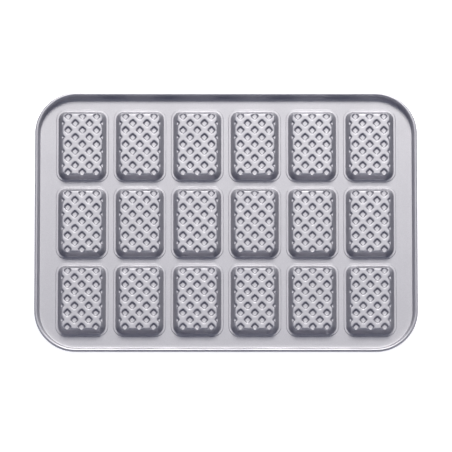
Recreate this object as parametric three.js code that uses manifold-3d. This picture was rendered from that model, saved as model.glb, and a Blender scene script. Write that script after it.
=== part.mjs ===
// Wafer mould: a coated steel baking sheet with rows of waffle cups, lying face down.
// Millimetres, +Z up. The sheet's use face lies on z = 0 and the closed cup bottoms stand up,
// +X runs along the long side, and the origin is the middle of the face that it lies on.
import * as THREE from 'three';
import { mergeVertices } from 'three/addons/utils/BufferGeometryUtils.js';
import Module from 'manifold-3d';

// Driving dimensions of the sheet and the rows of cups
const sheet = 0.6; // thickness of the steel in every piece
const columns = 6;
const rows = 3;
const columnGap = 4.9; // deck left between the flanges of two columns
const rowGap = 3.95; // deck left between the flanges of two rows
const sideMargin = 15.5; // from the outer flanges to the rim's bend, at the short sides
const endMargin = 10.5; // the same at the long sides
const deckCorner = 36; // corner radius of the deck where the rim's bend begins

// Driving dimensions of one cup
const floorWidth = 39.6; // flat cup bottom, along X
const floorLength = 60.9; // flat cup bottom, along Y
const floorCorner = 4.2; // corner radius of the cup bottom
const cupHeight = 10.2; // from the flange's seat to the cup bottom's outer face
const wallRun = 3.6; // how far the sloping wall spreads from the bottom to its foot
const flangeWidth = 2.75; // land round the foot, lapped on the deck
const edgeEase = 1.1; // length that the rounding takes off each side of the bottom's edge
const footEase = 0.8; // the same at the wall's foot

// Driving dimensions of the waffle pits, a square grid turned by 45 degrees
const pitPitch = 10; // from pit to pit along the turned grid
const pitMouth = 6; // side of a pit's square mouth
const pitDepth = 2.4; // to its point

// Driving dimensions of the rim
const rimHeight = 8.5; // from the use face to the top of the rolled bead
const rimLean = 10; // degrees that the rim's wall leans outward
const bendRadius = 1.1; // of the sheet's middle, where the deck turns up
const wireDiameter = 2.4; // steel wire that the edge is rolled round
const wireClearance = 0.2;
const curlGap = 0.5; // slit left between the rolled edge and the rim's wall

// Facets of the rounded stretches
const cupCornerSteps = 2;
const deckCornerSteps = 5;
const easeSteps = 1;
const bendSteps = 2;
const curlSteps = 7;
const wireSides = 6;

// Sizes that follow
const footOut = wallRun; // outlines are measured outward from the cup bottom's edge
const flangeOut = footOut + flangeWidth;
const wallRise = cupHeight - sheet;
const innerShift = sheet * Math.hypot(wallRun, wallRise) / wallRise;
const columnPitch = floorWidth + 2 * flangeOut + columnGap;
const rowPitch = floorLength + 2 * flangeOut + rowGap;
const deckWidth = columns * columnPitch - columnGap + 2 * sideMargin;
const deckLength = rows * rowPitch - rowGap + 2 * endMargin;
const boreRadius = wireDiameter / 2 + wireClearance;
const beadRadius = boreRadius + sheet;
const overcut = sheet; // how far a cut reaches past what it cuts

const wasm = await Module();
wasm.setup();

// Turns a closed geometry into a solid that can be cut and joined.
function solidFrom(geometry) {
  const bare = geometry.index ? geometry.toNonIndexed() : geometry.clone();
  bare.deleteAttribute('normal');
  bare.deleteAttribute('uv');
  const merged = mergeVertices(bare);
  return new wasm.Manifold(new wasm.Mesh({
    numProp: 3,
    vertProperties: new Float32Array(merged.attributes.position.array),
    triVerts: new Uint32Array(merged.index.array),
  }));
}

// Turns a finished solid back into a geometry with flat facets.
function geometryFrom(solid) {
  const mesh = solid.getMesh();
  const geometry = new THREE.BufferGeometry();
  geometry.setAttribute('position', new THREE.BufferAttribute(new Float32Array(mesh.vertProperties), 3));
  geometry.setIndex(new THREE.BufferAttribute(new Uint32Array(mesh.triVerts), 1));
  const faceted = geometry.toNonIndexed();
  faceted.computeVertexNormals();
  return faceted;
}

// Points of a rounded rectangle, anticlockwise seen from above.
function roundedRectangle(width, length, corner, steps) {
  const x = width / 2 - corner;
  const y = length / 2 - corner;
  const quarter = Math.PI / 2;
  const centres = [[x, y], [-x, y], [-x, -y], [x, -y]];
  return centres.flatMap(([cx, cy], turn) => new THREE.EllipseCurve(
    cx, cy, corner, corner, turn * quarter, (turn + 1) * quarter,
  ).getPoints(steps));
}

// A solid through parallel rounded rectangles. Each profile point gives how far its ring lies
// outside the base outline, and its height. The first and last rings are closed by flat caps, or
// the profile runs round into itself.
function ringSolid(base, profile, runsRound = false) {
  const rings = profile.map(({ x: out, y: z }) => roundedRectangle(
    base.width + 2 * out, base.length + 2 * out, base.corner + out, base.steps,
  ).map((spot) => [spot.x, spot.y, z]));
  const count = rings[0].length;
  const index = [];
  const bands = runsRound ? rings.length : rings.length - 1;
  for (let band = 0; band < bands; band += 1) {
    const low = band * count;
    const high = ((band + 1) % rings.length) * count;
    for (let k = 0; k < count; k += 1) {
      const next = (k + 1) % count;
      index.push(low + k, low + next, high + next, low + k, high + next, high + k);
    }
  }
  const last = (rings.length - 1) * count;
  for (let k = 1; k < count - 1 && !runsRound; k += 1) {
    index.push(0, k + 1, k, last, last + k, last + k + 1);
  }
  const geometry = new THREE.BufferGeometry();
  geometry.setAttribute('position', new THREE.Float32BufferAttribute(rings.flat(2), 3));
  geometry.setIndex(index);
  return solidFrom(geometry);
}

// A corner of a profile, eased off by a curve that starts and ends a set length away from it.
function easedCorner(before, corner, after, ease) {
  const start = before.clone().sub(corner).setLength(ease).add(corner);
  const end = after.clone().sub(corner).setLength(ease).add(corner);
  return new THREE.QuadraticBezierCurve(start, corner, end).getPoints(easeSteps);
}

const point = (out, z) => new THREE.Vector2(out, z);
const cupBase = { width: floorWidth, length: floorLength, corner: floorCorner, steps: cupCornerSteps };
const deckBase = { width: deckWidth, length: deckLength, corner: deckCorner, steps: deckCornerSteps };

// How far a cup's wall stands outside the bottom's edge at a height, on its outer or its inner face
const wallOut = (z) => wallRun * (cupHeight - z) / wallRise;
const innerWallOut = (z) => wallOut(z) - innerShift;

// A cup's outer form: the flange's edge and top, the eased foot, the wall and the eased bottom edge.
function cupOutside() {
  const flangeTop = point(flangeOut, sheet);
  const foot = point(footOut, sheet);
  const edge = point(0, cupHeight);
  const bottomMiddle = point(-floorWidth / 2, cupHeight);
  return ringSolid(cupBase, [
    point(flangeOut, 0),
    flangeTop,
    ...easedCorner(flangeTop, foot, edge, footEase),
    ...easedCorner(foot, edge, bottomMiddle, edgeEase),
  ]);
}

// The hollow inside a cup, one sheet thickness within its outer form and open at the deck.
function cupHollow() {
  const ceiling = cupHeight - sheet;
  const mouth = point(innerWallOut(0), 0);
  const edge = point(innerWallOut(ceiling), ceiling);
  const ceilingMiddle = point(-floorWidth / 2, ceiling);
  return ringSolid(cupBase, [
    point(mouth.x, -overcut),
    ...easedCorner(mouth, edge, ceilingMiddle, edgeEase - sheet / 2),
  ]);
}

// Centres of one cup's pits: every grid point whose mouth reaches in past the bottom's eased edge.
function pitCentres() {
  const halfStep = pitPitch / Math.SQRT2;
  const reach = pitMouth / Math.SQRT2 - edgeEase;
  const across = Math.floor((floorWidth / 2 + reach) / halfStep);
  const along = Math.floor((floorLength / 2 + reach) / halfStep);
  const centres = [];
  for (let i = -across; i <= across; i += 1) {
    for (let j = -along; j <= along; j += 1) {
      if ((i + j) % 2 === 0) {
        centres.push(point(i * halfStep, j * halfStep));
      }
    }
  }
  return centres;
}

// All the pits of a cup as one solid of square pyramids, points down and corners along X and Y. They run
// on upward past the cup bottom, and a margin moves their sloping faces outward.
function pits(margin) {
  const steepness = pitDepth / (pitMouth / 2);
  const drop = margin * Math.hypot(1, steepness);
  const height = pitDepth + drop + overcut;
  const halfDiagonal = height / steepness * Math.SQRT2;
  const pyramid = new THREE.ConeGeometry(halfDiagonal, height, 4);
  pyramid.rotateX(-Math.PI / 2);
  pyramid.translate(0, 0, cupHeight + overcut - height / 2);
  const one = solidFrom(pyramid);
  return pitCentres()
    .map((centre) => one.translate([centre.x, centre.y, 0]))
    .reduce((all, next) => all.add(next));
}

// A pressed cup: its outer form with the pits, less its hollow with the bumps that the pits leave there.
function cup() {
  const hollow = cupHollow().subtract(pits(sheet));
  return geometryFrom(cupOutside().subtract(pits(0)).subtract(hollow));
}

// The middle of the sheet from the deck's edge, up the leaning rim and round the wire.
function rimPath() {
  const lean = THREE.MathUtils.degToRad(rimLean);
  const curlRadius = beadRadius - sheet / 2;
  const curlTurn = Math.PI + Math.acos((curlGap - boreRadius) / beadRadius);
  const deckEdge = point(-bendRadius, sheet / 2);
  const bend = new THREE.EllipseCurve(
    0, sheet / 2 + bendRadius, bendRadius, bendRadius, -Math.PI / 2, -lean,
  ).getPoints(bendSteps);
  const wallFoot = bend.at(-1);
  const wallTopZ = rimHeight - beadRadius + curlRadius * Math.sin(lean);
  const wallTopOut = wallFoot.x + (wallTopZ - wallFoot.y) * Math.tan(lean);
  const centre = point(wallTopOut + curlRadius * Math.cos(lean), rimHeight - beadRadius);
  const curl = new THREE.EllipseCurve(
    centre.x, centre.y, curlRadius, curlRadius, Math.PI - lean, Math.PI - lean - curlTurn, true,
  ).getPoints(curlSteps);
  return { line: [deckEdge, ...bend, ...curl], centre };
}

// The two faces of a sheet whose middle follows a line: out along its right side and back along its left.
function sheetProfile(line) {
  const normals = line.slice(1).map((end, k) => {
    const along = end.clone().sub(line[k]).normalize();
    return point(along.y, -along.x);
  });
  const side = (sign) => line.map((here, k) => {
    const before = normals[Math.max(k - 1, 0)];
    const after = normals[Math.min(k, normals.length - 1)];
    const mitre = before.clone().add(after);
    return mitre.multiplyScalar(sign * sheet / mitre.lengthSq()).add(here);
  });
  return [...side(1), ...side(-1).reverse()];
}

// Where each cup stands, row 1 on the +Y side and column 1 on the -X side
function cupPlaces() {
  const places = [];
  for (let row = 0; row < rows; row += 1) {
    for (let column = 0; column < columns; column += 1) {
      places.push({
        name: `cup_r${row + 1}_c${column + 1}`,
        x: (column - (columns - 1) / 2) * columnPitch,
        y: ((rows - 1) / 2 - row) * rowPitch,
      });
    }
  }
  return places;
}

// The deck with its rim turned up and rolled, and a hole at each cup as wide as the cup's mouth.
function deckAndRim() {
  const mouthOut = innerWallOut(0);
  const hole = ringSolid(cupBase, [point(mouthOut, -overcut), point(mouthOut, sheet + overcut)]);
  const blank = ringSolid(deckBase, sheetProfile(rimPath().line));
  return geometryFrom(cupPlaces().reduce(
    (deck, place) => deck.subtract(hole.translate([place.x, place.y, 0])),
    blank,
  ));
}

// The wire that the rim's edge is rolled round, one closed loop.
function rimWire() {
  const { centre } = rimPath();
  const section = Array.from({ length: wireSides }, (_, k) => {
    const angle = 2 * Math.PI * k / wireSides;
    return point(
      centre.x + wireDiameter / 2 * Math.cos(angle),
      centre.y + wireDiameter / 2 * Math.sin(angle),
    );
  });
  return geometryFrom(ringSolid(deckBase, section, true));
}

const coatedSteel = { color: 0xc8c7cc, roughness: 0.42, metalness: 0.75 };
const bareSteel = { color: 0x9a9a9c, roughness: 0.5, metalness: 1 };

function addPiece(group, name, geometry, finish) {
  const mesh = new THREE.Mesh(geometry, new THREE.MeshStandardMaterial(finish));
  mesh.name = name;
  group.add(mesh);
  return mesh;
}

const mould = new THREE.Group();
addPiece(mould, 'deck_sheet', deckAndRim(), coatedSteel);
addPiece(mould, 'rim_wire', rimWire(), bareSteel);
const cupGeometry = cup();
for (const place of cupPlaces()) {
  addPiece(mould, place.name, cupGeometry, coatedSteel).position.set(place.x, place.y, sheet);
}

export default mould;
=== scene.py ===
import math

import bpy
import numpy as np
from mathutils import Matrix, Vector
from mathutils.geometry import delaunay_2d_cdt


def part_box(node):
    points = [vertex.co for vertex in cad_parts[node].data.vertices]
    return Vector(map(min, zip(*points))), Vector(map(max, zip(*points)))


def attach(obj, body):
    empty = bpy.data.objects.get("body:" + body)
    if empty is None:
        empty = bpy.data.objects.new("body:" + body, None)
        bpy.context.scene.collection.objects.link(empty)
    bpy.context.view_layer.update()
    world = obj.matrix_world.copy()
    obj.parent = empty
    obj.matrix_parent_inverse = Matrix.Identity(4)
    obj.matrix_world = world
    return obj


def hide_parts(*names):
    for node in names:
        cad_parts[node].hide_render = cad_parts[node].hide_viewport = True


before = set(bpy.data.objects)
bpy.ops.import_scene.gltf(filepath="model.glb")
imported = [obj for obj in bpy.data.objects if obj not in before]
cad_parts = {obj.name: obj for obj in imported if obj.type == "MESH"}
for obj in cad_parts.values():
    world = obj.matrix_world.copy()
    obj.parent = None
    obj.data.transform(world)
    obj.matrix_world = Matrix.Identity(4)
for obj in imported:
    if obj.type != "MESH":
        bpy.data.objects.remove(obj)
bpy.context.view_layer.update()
cup_nodes = sorted(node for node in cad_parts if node.startswith("cup_"))

MM = 0.001
ROOT_TWO = math.sqrt(2)

# The sheet and its cups, in millimetres, as in the solids
SHEET = 0.6
BOTTOM_WIDTH = 39.6
BOTTOM_LENGTH = 60.9
BOTTOM_CORNER = 4.2
CUP_HEIGHT = 10.2
WALL_RUN = 3.6
FLANGE_WIDTH = 2.75
WALL_SLOPE = (CUP_HEIGHT - SHEET) / WALL_RUN
FLANGE_OUT = WALL_RUN + FLANGE_WIDTH

# Roundings of a cup: how far apart in height two faces are where their blending starts, and the share of
# that which it takes off where they meet. The crown is higher by what the crests between the pits lose.
BLEND_LOSS = 0.25
EDGE_ROUNDING = 3.2
FOOT_ROUNDING = 1.7
FLANGE_ROUNDING = 0.5
CREST_ROUNDING = 0.4
CREST_MARGIN = 2 * CREST_ROUNDING
EDGE_REACH = EDGE_ROUNDING / WALL_SLOPE
FOOT_REACH = FOOT_ROUNDING / WALL_SLOPE
CROWN = CUP_HEIGHT + CREST_ROUNDING * BLEND_LOSS

# The flange's sloping edge, and how many of its runs inward the flange's lower face is flat on the deck
FLANGE_EDGE_SLOPE = 2.5
FLANGE_EDGE_RUN = SHEET / FLANGE_EDGE_SLOPE
FLANGE_SEAT_RUNS = 4

# Waffle pits: flat square floors turned by 45 degrees, with sloping walls and rounded lips
PIT_PITCH = 10.0
PIT_DEPTH = 2.0
PIT_FLOOR = 4.1
PIT_FLOOR_CORNER = 0.6
PIT_FLOOR_ROUNDING = 0.4
PIT_WALL_RUN = 1.3
PIT_WALL_SLOPE = PIT_DEPTH / PIT_WALL_RUN
PIT_WALL_ANGLE = math.atan(PIT_WALL_SLOPE)
PIT_LIP_RADIUS = 1.3
PIT_LIP_END = PIT_WALL_RUN + PIT_LIP_RADIUS * math.tan(PIT_WALL_ANGLE / 2)
PIT_LIP_START = PIT_LIP_END - PIT_LIP_RADIUS * math.sin(PIT_WALL_ANGLE)

# Painted shade: the coating's colour is darkened where the sheet is steep, standing in for the shade on
# walls and in pits. The leans, in degrees, between which that sets in, and how far it goes in a pit and on a
# wall
SLOPE_SHADE_START = 25
SLOPE_SHADE_END = 50
PIT_SLOPE_SHADE = 0.7
WALL_SLOPE_SHADE = 0.3

# The deck and its rim, in millimetres, as in the solids. The swept strip of the deck before the bend is as
# wide as the lead and the bend's radius together.
DECK_WIDTH = 369.3
DECK_LENGTH = 249.7
DECK_CORNER = 36.0
DECK_LEAD = 1.2
HOLE_OUT = WALL_RUN + FOOT_REACH
RIM_HEIGHT = 8.5
RIM_LEAN = math.radians(10)
BEND_RADIUS = 1.1
WIRE_RADIUS = 1.2
WIRE_CLEARANCE = 0.2
CURL_GAP = 0.5
BORE_RADIUS = WIRE_RADIUS + WIRE_CLEARANCE
BEAD_RADIUS = BORE_RADIUS + SHEET

# Mesh rings round a cup: inward from the flange's outer edge in runs of that edge, and on both sides of the
# wall's foot and of the bottom's edge in reaches of their roundings
FLANGE_RINGS = (0, 0.5, 0.8, 1.0, 1.3, 1.8, 2.4, 3.2)
FOOT_RINGS = (1.6, 1.0, 0.6, 0.2, -0.2, -0.6, -1.0)
EDGE_RINGS = (1.4, 1.0, 0.7, 0.4, 0.1, -0.2, -0.5, -0.8, -1.1, -1.6)

# Mesh rings round a pit: distances outside its floor, steps round its lip, and a ring past the lip
PIT_RINGS = (-1.0, -0.4, -0.1, 0.1)
LIP_STEPS = 5
PAST_LIP = 0.3

# Fineness of the meshes, with lengths in millimetres
CUP_CORNER_STEPS = 7
PIT_CORNER_STEPS_PER_MM = 2
PIT_CORNER_MOST_STEPS = 4
PIT_SIDE_STEPS = 2
DECK_CORNER_STEPS = 20
BEND_STEPS = 7
CURL_STEPS = 26
WIRE_SIDES = 12
STRAIGHT_STEP = 3.0
SLOPE_STEP = 0.02
BEND_STEP = 0.5
WELD_DISTANCE = 0.001
SHARP_ANGLE = math.radians(50)

# What the triangulation gives back: all triangles within the points' convex outline
WHOLE_HULL = 0

# The coating: colours of its grain and handling clouds, of crests lightened as wear and painted highlight,
# of painted shade in creases and of painted shade on steep walls
GRAIN_COLOURS = ((0.5, 0.495, 0.528, 1), (0.55, 0.545, 0.578, 1))
CLOUD_COLOUR = (0.47, 0.466, 0.497, 1)
CREST_WEAR_AND_HIGHLIGHT_COLOUR = (0.66, 0.655, 0.69, 1)
CREASE_SHADE_COLOUR = (0.32, 0.315, 0.345, 1)
SLOPE_SHADE_COLOUR = (0.32, 0.318, 0.355, 1)
COATING_METALLIC = 0.8
COATING_ROUGHNESS = (0.48, 0.56)

# The noise values or bends at which each of these sets in and is full, and the share that it then has
NOISE_SPREAD = (0.3, 0.7)
CLOUD_SPREAD = (0.4, 0.7)
# Crests are lightened as wear and painted highlight, creases darkened as painted shade
CREST_WEAR_AND_HIGHLIGHT_BENDS = (0.03, 0.2)
CREASE_SHADE_BENDS = (-0.1, -0.4)
CLOUD_SHARE = 0.25
CREST_WEAR_AND_HIGHLIGHT_SHARE = 0.6
CREASE_SHADE_SHARE = 0.2

# Sizes of the noises' features and of the grain's bump, in millimetres, and how fine the noises are
GRAIN_SIZE = 0.9
CLOUD_SIZE = 35
STREAK_SIZE = 0.4
PAPER_SIZE = 4
SOFT_DETAIL = 2
RICH_DETAIL = 3
BUMP_HEIGHT = 0.05
BUMP_STRENGTH = 0.12

# The wire, and the paper of the floor
WIRE_COLOURS = ((0.36, 0.36, 0.37, 1), (0.5, 0.5, 0.51, 1))
WIRE_METALLIC = 1.0
WIRE_ROUGHNESS = (0.3, 0.5)
PAPER_COLOURS = ((0.80, 0.80, 0.80, 1), (0.84, 0.84, 0.84, 1))
PAPER_ROUGHNESS = 0.9
WHITE = (1, 1, 1, 1)

# The stage, in metres: a wide pale dish whose edge turns up far from the object, white where it is seen
STAGE_DROP = 0.0003
STAGE_RADIUS = 5.0
STAGE_EDGE_RISE = 1.2
STAGE_EDGE_RUN = 1.5
STAGE_SIDES = 96
STAGE_EDGE_STEPS = 12
STAGE_GLOW = 0.88

# The lamps' near white, and a faint blue light from all round
LAMP_COLOUR = (1, 0.98, 0.93)
SKY_COLOUR = (0.16, 0.28, 1, 1)
SKY_STRENGTH = 0.1

# The camera, in metres: almost straight above, a little towards the near long side. The frame's width is
# what it shows at the point that it aims at.
CAMERA_TILT = math.radians(8.7)
CAMERA_DISTANCE = 5.0
CAMERA_CLIP_END = 50
FRAME_WIDTH = 0.44896
AIM = Vector((0, -0.0044, 0.0074))


# Smooth forms of the lower and the higher of two heights. The reach says how far apart they may be and
# still be blended.
def blended_low(first, second, reach):
    near = np.maximum(reach - np.abs(first - second), 0) / reach
    return np.minimum(first, second) - near**2 * reach * BLEND_LOSS


def blended_high(first, second, reach):
    return -blended_low(-first, -second, reach)


# Distance from a rounded rectangle about the origin, negative inside it
def distance_outside(x, y, width, length, corner):
    across = np.abs(x) - (width / 2 - corner)
    along = np.abs(y) - (length / 2 - corner)
    beyond = np.hypot(np.maximum(across, 0), np.maximum(along, 0))
    return beyond + np.minimum(np.maximum(across, along), 0) - corner


# Distance outside a cup's flat bottom
def cup_out(x, y):
    return distance_outside(x, y, BOTTOM_WIDTH, BOTTOM_LENGTH, BOTTOM_CORNER)


# Height of a cup's outer face over its seat if it had no pits
def plain_height(x, y):
    out = cup_out(x, y)
    bottom = np.full_like(out, CROWN)
    crown = blended_low(bottom, CROWN - WALL_SLOPE * out, EDGE_ROUNDING)
    body = blended_high(crown, np.full_like(out, SHEET), FOOT_ROUNDING)
    flange_edge = FLANGE_EDGE_SLOPE * (FLANGE_OUT - out)
    return blended_low(body, flange_edge, FLANGE_ROUNDING)


# Height of the pit that is nearest to a point, level with the crown from the end of its lip outward
def pit_height(x, y):
    rising = (x + y) / ROOT_TWO
    falling = (y - x) / ROOT_TWO
    rising = rising - PIT_PITCH * np.round(rising / PIT_PITCH)
    falling = falling - PIT_PITCH * np.round(falling / PIT_PITCH)
    out = distance_outside(rising, falling, PIT_FLOOR, PIT_FLOOR, PIT_FLOOR_CORNER)
    floor = np.full_like(out, CROWN - PIT_DEPTH)
    hollow = blended_high(floor, floor + PIT_WALL_SLOPE * out, PIT_FLOOR_ROUNDING)
    to_end = np.clip(PIT_LIP_END - out, 0, PIT_LIP_RADIUS)
    lip = CROWN - PIT_LIP_RADIUS + np.sqrt(PIT_LIP_RADIUS**2 - to_end**2)
    return np.where(out > PIT_LIP_START, lip, hollow)


def cup_height(x, y):
    return blended_low(plain_height(x, y), pit_height(x, y), CREST_ROUNDING)


# How strongly a cup's outer face bends at a point: crests above zero, creases below zero, and zero on the
# outer half of the flange
def bend_of(x, y):
    around = [(BEND_STEP, 0), (-BEND_STEP, 0), (0, BEND_STEP), (0, -BEND_STEP)]
    mean = sum(cup_height(x + step_x, y + step_y) for step_x, step_y in around) / len(around)
    on_flange = cup_out(x, y) > (WALL_RUN + FLANGE_OUT) / 2
    return np.where(on_flange, 0, (cup_height(x, y) - mean) / BEND_STEP)


# How much painted shade darkens a point of a cup that leans by so many degrees, more in a pit than on a wall
def slope_shade_of(x, y, lean):
    most = np.where(pit_height(x, y) < plain_height(x, y), PIT_SLOPE_SHADE, WALL_SLOPE_SHADE)
    return most * np.clip((lean - SLOPE_SHADE_START) / (SLOPE_SHADE_END - SLOPE_SHADE_START), 0, 1)


def on_circle(centre, radius, angle):
    return centre[0] + radius * math.cos(angle), centre[1] + radius * math.sin(angle)


# Points of a rounded rectangle, anticlockwise, with its straight sides cut into steps of about a length
def rounded_rectangle(width, length, corner, corner_steps, straight_step=None):
    half_x = width / 2 - corner
    half_y = length / 2 - corner
    centres = [(half_x, half_y), (-half_x, half_y), (-half_x, -half_y), (half_x, -half_y)]
    points = []
    for turn, centre in enumerate(centres):
        for step in range(corner_steps + 1):
            points.append(on_circle(centre, corner, (turn + step / corner_steps) * math.pi / 2))
        if straight_step:
            side = 2 * (half_x if turn % 2 == 0 else half_y)
            cuts = max(1, round(side / straight_step))
            start = np.array(points[-1])
            next_centre = centres[(turn + 1) % len(centres)]
            end = np.array(on_circle(next_centre, corner, (turn + 1) * math.pi / 2))
            for cut in range(1, cuts):
                points.append(tuple(start + (end - start) * cut / cuts))
    return np.array(points)


# Outline at a distance outside a cup's flat bottom
def cup_ring(out, straight_step=None):
    width = BOTTOM_WIDTH + 2 * out
    length = BOTTOM_LENGTH + 2 * out
    return rounded_rectangle(width, length, BOTTOM_CORNER + out, CUP_CORNER_STEPS, straight_step)


# Outline at a distance outside the floor of a pit about the origin, turned by 45 degrees
def pit_ring(out):
    corner = PIT_FLOOR_CORNER + out
    side = PIT_FLOOR + 2 * out
    corner_steps = max(1, min(PIT_CORNER_MOST_STEPS, round(corner * PIT_CORNER_STEPS_PER_MM)))
    x, y = rounded_rectangle(side, side, corner, corner_steps, side / PIT_SIDE_STEPS).T
    return np.array([x - y, x + y]).T / ROOT_TWO


# Distances outside a pit's floor at which its mesh has rings
def pit_ring_outs():
    outs = [*PIT_RINGS, PIT_LIP_START]
    for step in range(1, LIP_STEPS + 1):
        turn = PIT_WALL_ANGLE * (1 - step / LIP_STEPS)
        outs.append(PIT_LIP_END - PIT_LIP_RADIUS * math.sin(turn))
    outs.append(PIT_LIP_END + PAST_LIP)
    return outs


# Middles of the pits that a cup's bottom and walls hold whole or in part
def pit_middles():
    half_step = PIT_PITCH / ROOT_TWO
    most_x = int((BOTTOM_WIDTH / 2 + WALL_RUN) / half_step)
    most_y = int((BOTTOM_LENGTH / 2 + WALL_RUN) / half_step)
    return [
        np.array([step_x, step_y]) * half_step
        for step_x in range(-most_x, most_x + 1)
        for step_y in range(-most_y, most_y + 1)
        if (step_x + step_y) % 2 == 0
    ]


# Outlines at which a cup's mesh has its edges, each with a mark for its points that are kept: those round
# the cup where there is no pit, then those round each pit where the pit is
def cup_outlines():
    outs = [FLANGE_OUT - FLANGE_EDGE_RUN * share for share in FLANGE_RINGS]
    outs += [WALL_RUN + FOOT_REACH * share for share in FOOT_RINGS]
    outs += [EDGE_REACH * share for share in EDGE_RINGS]
    outlines = []
    for out in outs:
        outline = cup_ring(out, STRAIGHT_STEP)
        kept = pit_height(*outline.T) > plain_height(*outline.T) - CREST_MARGIN
        outlines.append((outline, kept))
    for middle in pit_middles():
        for out in pit_ring_outs():
            outline = pit_ring(out) + middle
            in_pit = pit_height(*outline.T) < plain_height(*outline.T) + CREST_MARGIN
            outlines.append((outline, in_pit & (cup_out(*outline.T) < FLANGE_OUT)))
    return outlines


# Triangles over a convex region that keep the given outlines as edges
def triangulated(outlines):
    points = []
    edges = []
    for outline, kept in outlines:
        number = np.cumsum(kept) - 1 + len(points)
        points += [Vector(point) for point in outline[kept]]
        for here in range(len(outline)):
            after = (here + 1) % len(outline)
            if kept[here] and kept[after]:
                edges.append((int(number[here]), int(number[after])))
    flat, _, faces, *_ = delaunay_2d_cdt(points, edges, [], WHOLE_HULL, WELD_DISTANCE)
    return np.array(flat), np.array(faces)


# Edges that belong to one triangle only, in that triangle's direction
def open_edges(faces):
    ends = np.roll(faces, -1, axis=1)
    directed = set(zip(faces.ravel().tolist(), ends.ravel().tolist()))
    return [(start, end) for start, end in directed if (end, start) not in directed]


# Outer and inner faces of one cup as vertices in millimetres over its seat, with triangles, and at each
# vertex of a face how strongly it bends and how much painted shade its lean gives it
def cup_shell():
    flat, faces = triangulated(cup_outlines())
    x, y = flat.T
    height = np.maximum(cup_height(x, y), 0)
    slope_x = (cup_height(x + SLOPE_STEP, y) - cup_height(x - SLOPE_STEP, y)) / (2 * SLOPE_STEP)
    slope_y = (cup_height(x, y + SLOPE_STEP) - cup_height(x, y - SLOPE_STEP)) / (2 * SLOPE_STEP)
    normal = np.stack([-slope_x, -slope_y, np.ones_like(x)], axis=1)
    normal /= np.linalg.norm(normal, axis=1, keepdims=True)
    outer = np.stack([x, y, height], axis=1)
    inner = outer - normal * SHEET
    on_seat = cup_out(x, y) > FLANGE_OUT - FLANGE_SEAT_RUNS * FLANGE_EDGE_RUN
    inner[on_seat] = np.stack([x, y, np.zeros_like(x)], axis=1)[on_seat]
    inner[:, 2] = np.maximum(inner[:, 2], 0)
    lean = np.degrees(np.arccos(normal[:, 2]))
    return outer, inner, faces, bend_of(x, y), slope_shade_of(x, y, lean)


# A smooth piece from vertices in millimetres, with named values at its vertices for the material
def new_piece(name, vertices, faces, material, **values):
    mesh = bpy.data.meshes.new(name)
    mesh.from_pydata((np.asarray(vertices) * MM).tolist(), [], faces)
    mesh.validate()
    mesh.shade_smooth()
    mesh.set_sharp_from_angle(angle=SHARP_ANGLE)
    for value_name, value in values.items():
        attribute = mesh.attributes.new(value_name, "FLOAT", "POINT")
        attribute.data.foreach_set("value", np.asarray(value, dtype=np.float32))
    mesh.materials.append(material)
    piece = bpy.data.objects.new(name, mesh)
    bpy.context.collection.objects.link(piece)
    return piece


# Middle of a cup's seat on the deck, in millimetres
def seat_of(node):
    low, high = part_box(node)
    return np.array([(low[0] + high[0]) / 2, (low[1] + high[1]) / 2, low[2]]) / MM


# The pressed cups, each in the place of its solid
def make_cups(material):
    outer, inner, faces, bend, painted_slope_shade = cup_shell()
    count = len(outer)
    edge = [(end, start, start + count, end + count) for start, end in open_edges(faces)]
    shell_faces = faces.tolist() + (faces[:, ::-1] + count).tolist() + edge
    shell = np.concatenate([outer, inner])
    # The second value is painted shade on steep faces, the same on both faces of the sheet
    values = {"bend": np.concatenate([bend, -bend]), "painted_slope_shade": np.concatenate([painted_slope_shade, painted_slope_shade])}
    for node in cup_nodes:
        cup = new_piece(f"pressed_{node}", shell + seat_of(node), shell_faces, material, **values)
        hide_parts(node)
        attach(cup, "root")


# Middle of the sheet from the deck, up the leaning rim and round the wire, as distance outside the deck's
# outline and height, with the middle of the curl
def rim_path():
    curl_radius = BEAD_RADIUS - SHEET / 2
    curl_turn = math.pi + math.acos((CURL_GAP - BORE_RADIUS) / BEAD_RADIUS)
    bend_centre = (0, SHEET / 2 + BEND_RADIUS)
    path = [(-DECK_LEAD - BEND_RADIUS, SHEET / 2)]
    for step in range(BEND_STEPS + 1):
        angle = -math.pi / 2 + (math.pi / 2 - RIM_LEAN) * step / BEND_STEPS
        path.append(on_circle(bend_centre, BEND_RADIUS, angle))
    foot_out, foot_z = path[-1]
    top_z = RIM_HEIGHT - BEAD_RADIUS + curl_radius * math.sin(RIM_LEAN)
    top_out = foot_out + (top_z - foot_z) * math.tan(RIM_LEAN)
    curl_centre = (top_out + curl_radius * math.cos(RIM_LEAN), RIM_HEIGHT - BEAD_RADIUS)
    for step in range(CURL_STEPS + 1):
        angle = math.pi - RIM_LEAN - curl_turn * step / CURL_STEPS
        path.append(on_circle(curl_centre, curl_radius, angle))
    return np.array(path), curl_centre


# The two faces of a sheet whose middle follows a path: its left side out and its right side back
def sheet_section(path):
    along = np.gradient(path, axis=0)
    along[0] = (1, 0)
    along /= np.linalg.norm(along, axis=1, keepdims=True)
    left = np.stack([-along[:, 1], along[:, 0]], axis=1) * SHEET / 2
    return np.concatenate([path + left, (path - left)[::-1]])


# Vertices and quads of a section carried round the deck's outline, with the number of vertices in a ring
def swept(section, closed):
    rings = [
        rounded_rectangle(DECK_WIDTH + 2 * out, DECK_LENGTH + 2 * out, DECK_CORNER + out, DECK_CORNER_STEPS)
        for out, _ in section
    ]
    count = len(rings[0])
    vertices = [(x, y, z) for ring, (_, z) in zip(rings, section) for x, y in ring]
    faces = []
    for band in range(len(section) if closed else len(section) - 1):
        low = band * count
        high = (band + 1) % len(section) * count
        for here in range(count):
            after = (here + 1) % count
            faces.append((low + here, high + here, high + after, low + after))
    return vertices, faces, count


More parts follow.
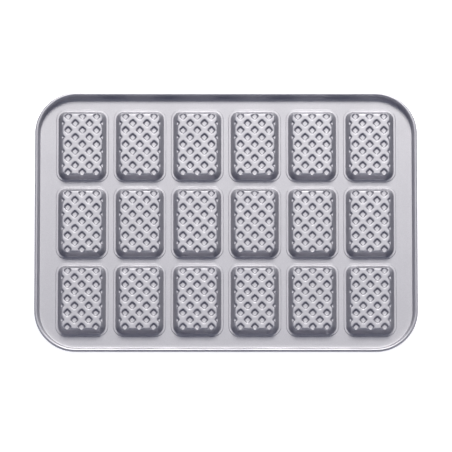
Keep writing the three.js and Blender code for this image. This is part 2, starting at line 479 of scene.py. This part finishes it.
# The deck with a hole at each cup, and its edge turned up and rolled into a bead
def make_deck(material):
    section = sheet_section(rim_path()[0])
    vertices, faces, count = swept(section, closed=False)
    bottom_first = len(vertices) - count
    edge = np.array(vertices[:count])[:, :2]
    centres = [seat_of(node)[:2] for node in cup_nodes]
    outlines = [edge] + [cup_ring(HOLE_OUT) + centre for centre in centres]
    flat, triangles = triangulated([(outline, np.ones(len(outline), bool)) for outline in outlines])
    middles = flat[triangles].mean(axis=1)
    in_hole = np.zeros(len(triangles), bool)
    for centre in centres:
        in_hole |= cup_out(*(middles - centre).T) < HOLE_OUT
    kept = triangles[~in_hole]
    within = flat[count:]
    numbers = []
    for ring_first, z in ((0, SHEET), (bottom_first, 0)):
        on_edge = ring_first + np.arange(count)
        numbers.append(np.concatenate([on_edge, len(vertices) + np.arange(len(within))]))
        vertices += [(x, y, z) for x, y in within]
    top, bottom = numbers
    faces += top[kept].tolist()
    faces += bottom[kept[:, ::-1]].tolist()
    for start, end in open_edges(kept):
        if start >= count:
            faces.append(np.array([top[end], top[start], bottom[start], bottom[end]]).tolist())
    deck = new_piece("rolled_deck", vertices, faces, material)
    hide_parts("deck_sheet")
    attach(deck, "root")


# The wire inside the bead
def make_wire(material):
    curl_centre = rim_path()[1]
    angles = [-2 * math.pi * side / WIRE_SIDES for side in range(WIRE_SIDES)]
    section = [on_circle(curl_centre, WIRE_RADIUS, angle) for angle in angles]
    vertices, faces, _ = swept(section, closed=True)
    wire = new_piece("edge_wire", vertices, faces, material)
    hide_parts("rim_wire")
    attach(wire, "root")


def new_material(name):
    material = bpy.data.materials.new(name)
    material.use_nodes = True
    return material, material.node_tree, material.node_tree.nodes["Principled BSDF"]


# A noise texture in the object's own metres, with features of about a size in millimetres
def add_noise(tree, size, detail):
    place = tree.nodes.new("ShaderNodeTexCoord")
    noise = tree.nodes.new("ShaderNodeTexNoise")
    noise.inputs["Scale"].default_value = 1 / (size * MM)
    noise.inputs["Detail"].default_value = detail
    tree.links.new(place.outputs["Object"], noise.inputs["Vector"])
    return noise.outputs["Fac"]


# A value that a piece has at its vertices
def add_attribute(tree, name):
    attribute = tree.nodes.new("ShaderNodeAttribute")
    attribute.attribute_name = name
    return attribute.outputs["Fac"]


# Maps a value's range, low and high, on to another
def add_range(tree, value, spread, result):
    mapped = tree.nodes.new("ShaderNodeMapRange")
    mapped.inputs["From Min"].default_value = spread[0]
    mapped.inputs["From Max"].default_value = spread[1]
    mapped.inputs["To Min"].default_value = result[0]
    mapped.inputs["To Max"].default_value = result[1]
    tree.links.new(value, mapped.inputs["Value"])
    return mapped.outputs["Result"]


# Goes from a first colour to a second one with a share from 0 to 1. A colour is a value or another's result.
def add_mix(tree, share, first, second):
    mix = tree.nodes.new("ShaderNodeMix")
    mix.data_type = "RGBA"
    tree.links.new(share, mix.inputs["Factor"])
    for socket, colour in ((mix.inputs["A"], first), (mix.inputs["B"], second)):
        if isinstance(colour, tuple):
            socket.default_value = colour
        else:
            tree.links.new(colour, socket)
    return mix.outputs["Result"]


# Satin silver-grey coating: fine grain, faint clouds from handling, crests lightened as wear and painted
# highlight, painted shade darkening creases, and painted shade darkening steep walls and pits
def coating_material():
    material, tree, shader = new_material("satin_coating")
    shader.inputs["Metallic"].default_value = COATING_METALLIC
    grain = add_noise(tree, GRAIN_SIZE, SOFT_DETAIL)
    clouds = add_noise(tree, CLOUD_SIZE, RICH_DETAIL)
    bend = add_attribute(tree, "bend")
    colour = add_mix(tree, add_range(tree, grain, NOISE_SPREAD, (0, 1)), *GRAIN_COLOURS)
    layers = [
        (clouds, CLOUD_SPREAD, CLOUD_SHARE, CLOUD_COLOUR),
        # Crests lightened: partly wear, partly a painted highlight
        (bend, CREST_WEAR_AND_HIGHLIGHT_BENDS, CREST_WEAR_AND_HIGHLIGHT_SHARE, CREST_WEAR_AND_HIGHLIGHT_COLOUR),
        # Creases darkened: painted shade
        (bend, CREASE_SHADE_BENDS, CREASE_SHADE_SHARE, CREASE_SHADE_COLOUR),
    ]
    for value, spread, share, layer_colour in layers:
        colour = add_mix(tree, add_range(tree, value, spread, (0, share)), colour, layer_colour)
    # Steep walls and pits darkened: painted shade
    colour = add_mix(tree, add_attribute(tree, "painted_slope_shade"), colour, SLOPE_SHADE_COLOUR)
    tree.links.new(colour, shader.inputs["Base Color"])
    roughness = add_range(tree, clouds, NOISE_SPREAD, COATING_ROUGHNESS)
    tree.links.new(roughness, shader.inputs["Roughness"])
    bump = tree.nodes.new("ShaderNodeBump")
    bump.inputs["Strength"].default_value = BUMP_STRENGTH
    bump.inputs["Distance"].default_value = BUMP_HEIGHT * MM
    tree.links.new(grain, bump.inputs["Height"])
    tree.links.new(bump.outputs["Normal"], shader.inputs["Normal"])
    return material


# Drawn steel wire: bare metal with fine streaks
def wire_material():
    material, tree, shader = new_material("drawn_wire")
    shader.inputs["Metallic"].default_value = WIRE_METALLIC
    streaks = add_noise(tree, STREAK_SIZE, RICH_DETAIL)
    tree.links.new(add_mix(tree, streaks, *WIRE_COLOURS), shader.inputs["Base Color"])
    roughness = add_range(tree, streaks, NOISE_SPREAD, WIRE_ROUGHNESS)
    tree.links.new(roughness, shader.inputs["Roughness"])
    return material


# Pale paper that glows white where the camera, a reflection or a see-through surface shows it
def floor_material():
    material, tree, shader = new_material("pale_floor")
    shader.inputs["Roughness"].default_value = PAPER_ROUGHNESS
    paper = add_noise(tree, PAPER_SIZE, SOFT_DETAIL)
    tree.links.new(add_mix(tree, paper, *PAPER_COLOURS), shader.inputs["Base Color"])
    path = tree.nodes.new("ShaderNodeLightPath")
    seen = path.outputs["Is Camera Ray"]
    for ray in ("Is Glossy Ray", "Is Transmission Ray"):
        either = tree.nodes.new("ShaderNodeMath")
        either.operation = "ADD"
        either.use_clamp = True
        tree.links.new(seen, either.inputs[0])
        tree.links.new(path.outputs[ray], either.inputs[1])
        seen = either.outputs["Value"]
    shader.inputs["Emission Color"].default_value = WHITE
    glow = add_range(tree, seen, (0, 1), (0, STAGE_GLOW))
    tree.links.new(glow, shader.inputs["Emission Strength"])
    return material


def make_floor():
    rings = [(STAGE_RADIUS, -STAGE_DROP)]
    for step in range(1, STAGE_EDGE_STEPS + 1):
        turn = math.pi / 2 * step / STAGE_EDGE_STEPS
        rise = STAGE_EDGE_RISE * (1 - math.cos(turn))
        rings.append((STAGE_RADIUS + STAGE_EDGE_RUN * math.sin(turn), rise - STAGE_DROP))
    angles = [2 * math.pi * side / STAGE_SIDES for side in range(STAGE_SIDES)]
    vertices = [(*on_circle((0, 0), radius, angle), z) for radius, z in rings for angle in angles]
    faces = [tuple(range(STAGE_SIDES))]
    for band in range(len(rings) - 1):
        low = band * STAGE_SIDES
        high = low + STAGE_SIDES
        for side in range(STAGE_SIDES):
            after = (side + 1) % STAGE_SIDES
            faces.append((low + side, low + after, high + after, high + side))
    mesh = bpy.data.meshes.new("floor")
    mesh.from_pydata(vertices, [], faces)
    mesh.materials.append(floor_material())
    floor = bpy.data.objects.new("floor", mesh)
    bpy.context.collection.objects.link(floor)


# Puts a lamp or a camera at a distance from a point, in a direction away from it, and turns it to the point
def aim_at(point, away, distance, item):
    item.location = point + away * distance
    item.rotation_euler = away.to_track_quat("Z", "Y").to_euler()
    bpy.context.collection.objects.link(item)


# A soft box aimed at the object, with angles in degrees from +Y and from the floor and lengths in metres.
# A white face turned to it would get that share of full white.
def add_softbox(name, azimuth, elevation, distance, width, height, share):
    light = bpy.data.lights.new(name, "AREA")
    light.shape = "RECTANGLE"
    light.size = width
    light.size_y = height
    light.color = LAMP_COLOUR
    light.energy = share * math.pi**2 * distance**2
    turn = math.radians(azimuth)
    rise = math.radians(elevation)
    away = Vector((math.sin(turn) * math.cos(rise), math.cos(turn) * math.cos(rise), math.sin(rise)))
    aim_at(Vector(), away, distance, bpy.data.objects.new(name, light))


def make_world():
    world = bpy.data.worlds.new("studio")
    world.use_nodes = True
    sky = world.node_tree.nodes["Background"]
    sky.inputs["Color"].default_value = SKY_COLOUR
    sky.inputs["Strength"].default_value = SKY_STRENGTH
    bpy.context.scene.world = world


def make_camera():
    lens = bpy.data.cameras.new("camera")
    lens.sensor_fit = "HORIZONTAL"
    lens.angle = 2 * math.atan(FRAME_WIDTH / 2 / CAMERA_DISTANCE)
    lens.clip_end = CAMERA_CLIP_END
    camera = bpy.data.objects.new("camera", lens)
    away = Vector((0, -math.sin(CAMERA_TILT), math.cos(CAMERA_TILT)))
    aim_at(AIM, away, CAMERA_DISTANCE, camera)
    bpy.context.scene.camera = camera


coating = coating_material()
make_deck(coating)
make_cups(coating)
make_wire(wire_material())
make_floor()
add_softbox("key_behind", azimuth=4, elevation=48.5, distance=3.6, width=1.8, height=1.2, share=1.15)
add_softbox("fill_above", azimuth=0, elevation=82, distance=2.6, width=5.0, height=1.4, share=0.15)
make_world()
make_camera()
bpy.context.scene.view_settings.view_transform = "Standard"
